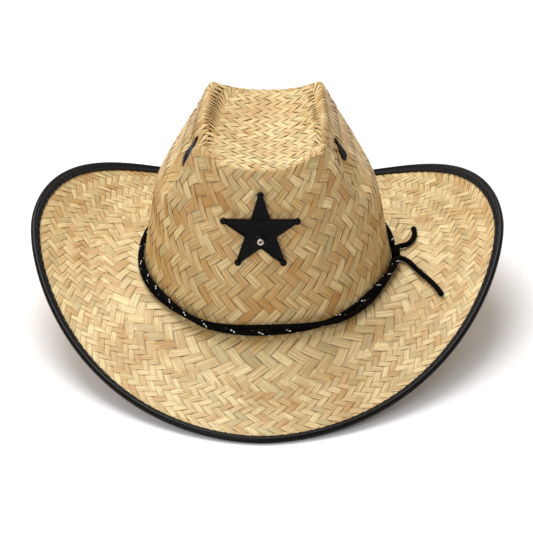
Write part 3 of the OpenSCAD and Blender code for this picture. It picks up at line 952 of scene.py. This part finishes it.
# short white yarns that show on the cord's skin, in pairs
def flecks(path, radius):
    dice = np.random.default_rng(52)
    up, side = carriedFrames(path)[1:]
    travelled = pathLength(path)
    parts = []
    at = 2.0
    around = 0.0
    while at < travelled[-1] - 3:
        for part in (0, 1):
            rings = 7
            t = np.linspace(-1, 1, rings)
            where = at + part * 2.0 + t * dice.uniform(0.6, 0.85)
            turnAt = around + part * 0.55 + t * 0.2
            base = np.stack([np.interp(where, travelled, path[:, k]) for k in range(3)], -1)
            index = np.clip(np.searchsorted(travelled, where), 0, len(path) - 1)
            out = up[index] * np.cos(turnAt)[:, None] + side[index] * np.sin(turnAt)[:, None]
            centre = base + out * radius * 0.97
            forward = unitRows(np.gradient(centre, axis=0))
            across = unitRows(np.cross(forward, out))
            sides = 8
            ringAngle = np.arange(sides) * turn / sides
            size = 0.46 * np.sqrt(np.clip(1 - t ** 2, 0.06, 1))
            ring = (across[:, None] * np.cos(ringAngle)[None, :, None]
                    + out[:, None] * 0.55 * np.sin(ringAngle)[None, :, None]) * size[:, None, None]
            points = (centre[:, None] + ring).reshape(-1, 3)
            strand = np.stack([np.repeat(t, sides), np.tile(ringAngle, rings),
                               np.full(rings * sides, at)], -1)
            faces = [gridFaces(rings, sides, wrapColumns=True), endCaps(rings, sides)]
            parts.append((points, faces, {"strand": strand}))
        at += cord["fleckEvery"] * dice.uniform(0.8, 1.25)
        around += dice.uniform(1.7, 2.4)
    return joined(parts)


# the cord wrapped round the crossing
def knotPath():
    t = np.linspace(0, 1, 160)
    wraps = 3.4
    spin = t * wraps * turn
    wind = np.stack([92.5 + 1.75 * np.cos(spin), -4.6 + 9.4 * t, 42.2 + 1.9 * np.sin(spin)], -1)
    return evenly(wind, 0.5)


def makeHatband():
    plain = yarnMaterial("plainYarn")
    flecked = yarnMaterial("fleckedYarn")
    radius = cord["radius"]
    paths = {"plain": bandPath(1), "flecked": bandPath(-1)}
    for name, path in paths.items():
        points, faces, fields = yarn(path, radius, 3 if name == "plain" else 4)
        material = plain if name == "plain" else flecked
        makePiece("hatband_" + name, points, faces, "hatband", material,
                  ["hatband_cord_" + name], fields, sharp=70)
        points, faces, fields = fuzz(path, radius, int(cord["fuzzPerMm"] * pathLength(path)[-1]),
                                     5 if name == "plain" else 6)
        makePiece("hatband_fuzz_" + name, points, faces, "hatband", material, (), fields)
    n = Nodes("fleckYarn", Roughness=0.8)
    along, around, seed = n.split(n.field("strand"))
    hairs = n.noise(n.join(n.sum("MULTIPLY", along, 0.4), around, seed), 3.0, 2.0)
    n.colour(n.mix(hairs, tint(196, 194, 190), tint(240, 238, 232)))
    n.bump(hairs, 0.6, 0.0001)
    points, faces, fields = flecks(paths["flecked"], radius)
    makePiece("hatband_flecks", points, faces, "hatband", n.material, (), fields, sharp=70)
    knot = [yarn(knotPath(), 1.55, 8)]
    core = evenly(np.array([[92.6, 7.0, 42.3], [92.6, 3, 42.3], [92.6, -2, 42.1], [92.7, -5.8, 42.0]]), 0.6)
    knot.append(yarn(core, 1.9, 9))
    knot.append(fuzz(core, 3.2, 120, 10))
    points, faces, fields = joined(knot)
    makePiece("hatband_knot_wraps", points, faces, "hatband", plain, ["hatband_knot"],
              fields, sharp=70)


def makeCordEnds():
    yarnLook = yarnMaterial("cordEndYarn")
    for name, route, seed in (("upper", upperRoute, 11), ("lower", lowerRoute, 12)):
        path = smoothRoute(route, 0.6)
        length = pathLength(path)[-1]
        points, faces, fields = yarn(path, cord["radius"] * 0.97, seed, 0.1)
        piece = makePiece("loose_end_" + name, points, faces, "hatband", yarnLook,
                          ["cord_end_" + name], fields, sharp=70)
        points, faces, fields = fuzz(path, cord["radius"], int(length * 8), seed + 5, splay=30)
        frayed = makePiece("loose_end_fuzz_" + name, points, faces, "hatband", yarnLook,
                           (), fields)


makeHatband()
makeCordEnds()
print("hatband made")


star = {
    "radius": 26.5,
    "waist": 11.4,
    "tip": 1.4,
    "plate": 1.8,
    "rim": 0.8,
    "gap": 0.8,
    "rivetDrop": 6.8,
    "ball": 2.5,
    "boss": 3.6,
    "bossHeight": 0.6,
    "rivetRadius": 1.6,
}


def starFrame():
    joint = next(j for j in frame["joints"] if j["name"] == "star_swivel")
    out = Vector(joint["axis"]).normalized()
    up = Vector((1, 0, 0)).cross(out)
    if up.z < 0:
        up = -up
    side = up.cross(out)
    return np.array(joint["pos_m"]) / mm, np.array([side, up, out])


def starPlace(local):
    base, axes = starFrame()
    return base + np.asarray(local, float) @ axes


# ten corners: the inner ones are rounded by three points each, the tips are cut across
def starOutline(inset):
    out = star["radius"] - 1.5 * inset
    half = max(star["tip"] - 0.7 * inset, 0.4)
    waist = star["waist"] - inset * 1.1
    rows = []
    for i in range(5):
        tip = math.radians(90 + 72 * i)
        inner = tip + math.radians(36)
        tipAt = np.array([math.cos(tip), math.sin(tip)])
        across = np.array([-tipAt[1], tipAt[0]])
        low = tipAt * out - across * half
        high = tipAt * out + across * half
        corner = np.array([math.cos(inner), math.sin(inner)]) * waist
        nextTip = np.array([math.cos(tip + math.radians(72)), math.sin(tip + math.radians(72))])
        nextAcross = np.array([-nextTip[1], nextTip[0]])
        nextLow = nextTip * out - nextAcross * half
        rows.append(low)
        rows.append(high)
        for share in (0.3, 0.6, 0.85):
            rows.append(high + (corner - high) * share)
        before = corner + unitRows(high - corner)
        after = corner + unitRows(nextLow - corner)
        rows += [before, (before + after + 2 * corner) / 4, after]
        for share in (0.15, 0.4, 0.7):
            rows.append(corner + (nextLow - corner) * share)
    shape = np.array(rows)
    shape[:, 1] += star["rivetDrop"]
    return shape


def lathe(profile, sides=48):
    profile = np.array(profile, float)
    around = np.arange(sides) * turn / sides
    points = np.stack([profile[:, None, 0] * np.cos(around), profile[:, None, 0] * np.sin(around),
                       np.broadcast_to(profile[:, None, 1], (len(profile), sides))], -1)
    return points.reshape(-1, 3), gridFaces(len(profile), sides, wrapRows=True, wrapColumns=True)


def ballPart(centre, radius, rings=14, sides=24):
    polar = np.linspace(0, math.pi, rings + 1)[1:-1]
    around = np.arange(sides) * turn / sides
    ring = np.stack([np.sin(polar)[:, None] * np.cos(around), np.sin(polar)[:, None] * np.sin(around),
                     np.broadcast_to(np.cos(polar)[:, None], (len(polar), sides))], -1).reshape(-1, 3)
    points = np.concatenate([ring, [[0, 0, 1], [0, 0, -1]]]) * radius + centre
    quads = gridFaces(len(polar), sides, wrapColumns=True)
    top = len(ring)
    step = np.arange(sides)
    upper = np.stack([np.full(sides, top), (step + 1) % sides, step], -1)
    last = (len(polar) - 1) * sides
    lower = np.stack([np.full(sides, top + 1), last + step, last + (step + 1) % sides], -1)
    return points, [quads, upper[:, ::-1], lower[:, ::-1]]


def plasticMaterial():
    n = Nodes("starPlastic", Specular_IOR_Level=0.1)
    place = n.add("ShaderNodeTexCoord").outputs["Object"]
    mottle = n.noise(place, 900.0, 3.0, 0.6)
    speck = n.noise(place, 2600.0, 1.0)
    n.colour(n.mix(n.span(mottle, 0.4, 0.7, 0, 1), tint(5, 4, 4), tint(12, 11, 11)))
    n.rough(n.span(mottle, 0.3, 0.7, 0.2, 0.34))
    n.bump(n.sum("ADD", mottle, n.sum("MULTIPLY", speck, 0.4)), 0.25, 0.0002)
    return n.material


def metalMaterial(name, colour, worn):
    n = Nodes(name, Metallic=1.0)
    place = n.add("ShaderNodeTexCoord").outputs["Object"]
    smear = n.noise(place, 500.0, 3.0, 0.6)
    n.colour(n.mix(n.span(smear, 0.35, 0.7, 0, 1), colour, worn))
    n.rough(n.span(smear, 0.3, 0.7, 0.22, 0.45))
    n.bump(smear, 0.2, 0.0001)
    return n.material


def makeStar():
    plate = star["plate"]
    rim = plate + star["rim"]
    levels = [(0.35, 0.0), (0.0, 0.35), (0.0, rim - 0.35), (0.12, rim - 0.12), (0.4, rim), (0.75, rim),
              (1.05, rim - 0.15), (1.25, plate + 0.12), (1.6, plate)]
    outlines = [starOutline(inset) for inset, level in levels]
    rings = [np.column_stack([o, np.full(len(o), lv)]) for o, (_, lv) in zip(outlines, levels)]
    m = len(outlines[0])
    shank = star["rivetRadius"] + 0.06
    inner = outlines[-1]
    spread = np.arctan2(inner[:, 1], inner[:, 0])
    circle = np.column_stack([np.cos(spread), np.sin(spread)])
    boss = [(star["boss"] + 0.5, plate), (star["boss"], plate + star["bossHeight"] * 0.6),
            (star["boss"] - 0.4, plate + star["bossHeight"]),
            (star["boss"] - 1.0, plate + star["bossHeight"]),
            (star["boss"] - 1.25, plate + 0.3), (shank, plate + 0.3), (shank, 0.0)]
    for share in (0.25, 0.5, 0.75):
        target = circle * (star["boss"] + 0.5)
        rings.append(np.column_stack([inner + (target - inner) * share, np.full(m, plate)]))
    for reach, level in boss:
        rings.append(np.column_stack([circle * reach, np.full(m, level)]))
    back = outlines[0]
    for share in (0.33, 0.66):
        plan = circle * shank + (back - circle * shank) * share
        rings.append(np.column_stack([plan, np.zeros(m)]))
    body = np.concatenate(rings)
    parts = [(body, [gridFaces(len(rings), m, wrapRows=True, wrapColumns=True)], {})]
    for i in range(5):
        tip = math.radians(90 + 72 * i)
        centre = np.array([star["radius"] * math.cos(tip), star["radius"] * math.sin(tip) + star["rivetDrop"],
                           star["ball"]])
        points, faces = ballPart(centre, star["ball"])
        parts.append((points, faces, {}))
    # a plain low bar joins the two corners under the top point
    corners = starOutline(0.5)[[6, 50]]
    bar = np.linspace(corners[0], corners[1], 12)
    profile = [(-0.75, plate - 0.3), (-0.5, plate + 0.35), (-0.2, rim - 0.1), (0.2, rim - 0.1),
               (0.5, plate + 0.35), (0.75, plate - 0.3)]
    rows = np.array([[(x, y + a, z) for a, z in profile] for x, y in bar])
    barFaces = [gridFaces(len(bar), len(profile), wrapColumns=True), endCaps(len(bar), len(profile))]
    parts.append((rows.reshape(-1, 3), barFaces, {}))
    points, faces, _ = joined(parts)
    points = points + np.array([0, 0, star["gap"]])
    makePiece("star_moulding", starPlace(points), faces, "star", plasticMaterial(),
              ["star_badge"], sharp=50)


def makeRivet():
    top = star["gap"] + star["plate"] + star["bossHeight"] + 0.1
    clinch = -hat["palmThickness"] - 0.85
    r = star["rivetRadius"]
    profile = [(0.8, clinch - 0.5), (1.4, clinch - 0.55), (2.0, clinch - 0.5), (2.4, clinch - 0.25),
               (2.5, clinch - 0.05), (r, clinch - 0.05), (r, top), (2.45, top), (2.42, top + 0.3),
               (2.2, top + 0.62), (1.8, top + 0.82), (1.4, top + 0.85), (1.0, top + 0.72), (0.8, top + 0.45)]
    points, faces = lathe(profile)
    metal = metalMaterial("rivetMetal", tint(214, 206, 198), tint(158, 146, 136))
    makePiece("rivet", starPlace(points), [faces], "hat", metal, ["star_rivet"])
    low = -hat["palmThickness"] - 0.8
    points, faces = lathe([(1.7, low), (4.3, low), (4.5, low + 0.12), (4.5, low + 0.45), (4.3, low + 0.6),
                           (1.7, low + 0.6)])
    makePiece("washer", starPlace(points), [faces], "hat", metal, ["rivet_washer"])


makeStar()
makeRivet()
print("star made")


vent = {"thickness": 1.1, "gap": 0.15, "steps": 28, "across": 13}


def ventPart(roundEnd, pointEnd, width):
    start = np.array(roundEnd, float)
    lane = np.array(pointEnd, float) - start
    side = np.array([-lane[1], lane[0]]) / np.linalg.norm(lane)
    t = np.linspace(0, 1, vent["steps"])[:, None]
    k = np.linspace(-1, 1, vent["across"])[None, :]
    half = width / 2 * (0.12 + np.sin(np.radians(180 * (1 - t) ** 2.1 * 0.86 + 6)) ** 0.8)
    plan = start + lane * t[..., None] + side * (half * k)[..., None]
    piping = 0.32 * np.exp(-((abs(k) - 0.78) / 0.14) ** 2)
    dome = vent["thickness"] * (0.35 + 0.45 * np.sqrt(np.clip(1 - k * k, 0, 1))) + piping
    dome = dome * np.sqrt(np.clip(np.sin(np.clip(t, 0.02, 0.98) * math.pi) * 4, 0.1, 1))
    top = crownPoint(plan[..., 0], plan[..., 1], vent["gap"] + dome)[0]
    under = crownPoint(plan[..., 0], plan[..., 1], np.full(dome.shape, -0.1))[0]
    ring = np.concatenate([top, under[:, ::-1]], 1)
    sides = ring.shape[1]
    count = vent["across"]
    caps = np.array([[j, j + 1, sides - 2 - j, sides - 1 - j] for j in range(count - 1)])
    faces = np.concatenate([gridFaces(vent["steps"], sides, wrapColumns=True), caps,
                            (caps + (vent["steps"] - 1) * sides)[:, ::-1]])
    return ring.reshape(-1, 3), faces


def glossMaterial():
    n = Nodes("ventVinyl", Specular_IOR_Level=0.12)
    place = n.add("ShaderNodeTexCoord").outputs["Object"]
    grain = n.noise(place, 1400.0, 2.0, 0.5)
    n.colour(n.mix(n.span(grain, 0.4, 0.7, 0, 1), tint(6, 5, 6), tint(18, 16, 17)))
    n.rough(n.span(grain, 0.3, 0.7, 0.2, 0.34))
    n.bump(grain, 0.25, 0.0002)
    return n.material


def makeVents():
    gloss = glossMaterial()
    for name, roundEnd, pointEnd, width in (("left", (-57.5, -17.5), (-46.5, -20), 6.5),
                                              ("right", (56.5, -13), (48.5, -11), 6)):
        points, faces = ventPart(roundEnd, pointEnd, width)
        makePiece("vent_" + name, points, [faces], "hat", gloss, ["vent_trim_" + name])


makeVents()
print("vents made")


lining = {"height": 31, "thickness": 1.1, "inset": 0.2, "stitches": 96, "stations": 540}


def liningPlace(angle, rise, depth):
    run = 1 - rise / wallRise(angle)
    plan = headOval(angle) * run[..., None]
    return crownPoint(plan[..., 0], plan[..., 1], -depth)[0]


def clothMaterial():
    n = Nodes("sweatbandCloth", Roughness=0.85, Sheen_Weight=0.2)
    along, up, seed = n.split(n.field("strand"))
    weft = n.sum("SINE", n.sum("MULTIPLY", along, 7.0))
    warp = n.sum("SINE", n.sum("MULTIPLY", up, 7.0))
    cross = n.sum("MULTIPLY", weft, warp)
    slub = n.noise(n.join(n.sum("MULTIPLY", along, 0.15), n.sum("MULTIPLY", up, 1.6), seed), 1.0, 3.0)
    base = n.mix(n.span(slub, 0.3, 0.7, 0, 1), tint(206, 186, 150), tint(224, 208, 176))
    n.colour(n.mix(n.span(cross, -1, 0, 0.35, 0), base, tint(160, 138, 104)))
    n.bump(cross, 0.5, 0.0002)
    return n.material


def makeLining():
    near = hat["palmThickness"] + lining["inset"]
    thick = lining["thickness"]
    height = lining["height"]
    section = [(height, near + 0.2), (height + 0.25, near + thick / 2), (height, near + thick + 0.1),
               (height - 1.5, near + thick + 0.25), (height - 3, near + thick), (height * 0.6, near + thick),
               (height * 0.3, near + thick), (4, near + thick), (3, near + thick - 0.1), (2, near + thick),
               (0.6, near + thick), (0.2, near + thick / 2), (0.6, near + 0.1), (height * 0.3, near),
               (height * 0.6, near)]
    section = np.array(section)
    count = lining["stations"]
    angle = np.linspace(0, turn, count, endpoint=False)[:, None]
    ripple = 0.5 * np.sin(5 * angle) + 0.3 * np.sin(11 * angle + 1)
    rise = section[:, 0] + ripple * (section[:, 0] / height) ** 2 * 0.6
    depth = section[:, 1] + np.zeros((count, 1))
    points = liningPlace(np.broadcast_to(angle, rise.shape), rise, depth)
    travelled = pathLength(points[:, 0])
    strand = np.stack([np.broadcast_to(travelled[:, None], rise.shape), rise, np.zeros_like(rise)], -1)
    faces = gridFaces(count, len(section), wrapRows=True, wrapColumns=True)
    piece = makePiece("sweatband_cloth", points, [faces], "hat", clothMaterial(),
                      ["sweatband"], {"strand": strand.reshape(-1, 3)}, sharp=70)
    angle = np.arange(lining["stitches"]) * turn / lining["stitches"]
    flat = np.full(len(angle), 3.0)
    middle = liningPlace(angle, flat, np.full(len(angle), near + thick))
    ahead = unitRows(liningPlace(angle + 0.01, flat, near + thick + 0 * flat)
                     - liningPlace(angle - 0.01, flat, near + thick + 0 * flat))
    up = unitRows(liningPlace(angle, flat, near + thick + 1 + 0 * flat) - middle)
    points, faces, fields = threadRun(middle, ahead, up, 3.8, 0.25, 0.25)
    thread = threadMaterial("creamThread", tint(214, 200, 170), tint(236, 226, 204))
    makePiece("sweatband_thread", points, faces, "hat", thread,
              ["sweatband_stitches"], fields)


makeLining()
print("sweatband made")


# the wire and its sleeve keep the frame's shape
def finishWire():
    steel = metalMaterial("wireSteel", tint(176, 176, 180), tint(120, 118, 118))
    for name in ("brim_wire", "wire_sleeve"):
        node = frame["nodes"][name]
        node.data.materials.clear()
        node.data.materials.append(steel)


finishWire()
print("wire finished")


studio = {
    "floorSize": 14,
    "world": 0.54,
    "key": 33,
    "fill": 13,
}


def makeStudio():
    scene = bpy.context.scene
    mesh = bpy.data.meshes.new("floor")
    s = studio["floorSize"] / 2
    mesh.from_pydata([(-s, -s, 0), (s, -s, 0), (s, s, 0), (-s, s, 0)], [], [(0, 1, 2, 3)])
    floor = bpy.data.objects.new("floor", mesh)
    scene.collection.objects.link(floor)
    n = Nodes("floorPaper", Roughness=0.9)
    place = n.add("ShaderNodeTexCoord").outputs["Object"]
    n.colour(n.mix(n.noise(place, 6.0), tint(246, 245, 246), tint(250, 249, 250)))
    mesh.materials.append(n.material)
    world = bpy.data.worlds.new("studio")
    world.use_nodes = True
    world.node_tree.nodes["Background"].inputs["Color"].default_value = (1, 0.975, 0.955, 1)
    world.node_tree.nodes["Background"].inputs["Strength"].default_value = studio["world"]
    scene.world = world
    for name, place, size, power in (("key", (-0.3, 0.7, 1.75), 1.5, studio["key"]),
                                     ("fill", (-0.9, -1.7, 1.2), 1.2, studio["fill"])):
        data = bpy.data.lights.new(name, "AREA")
        data.shape = "DISK"
        data.size = size
        data.energy = power
        lamp = bpy.data.objects.new(name, data)
        lamp.location = place
        lamp.rotation_euler = (Vector((0, 0, 0.06)) - Vector(place)).to_track_quat("-Z", "Y").to_euler()
        scene.collection.objects.link(lamp)
    scene.view_settings.view_transform = "Standard"


makeStudio()
print("studio lit")
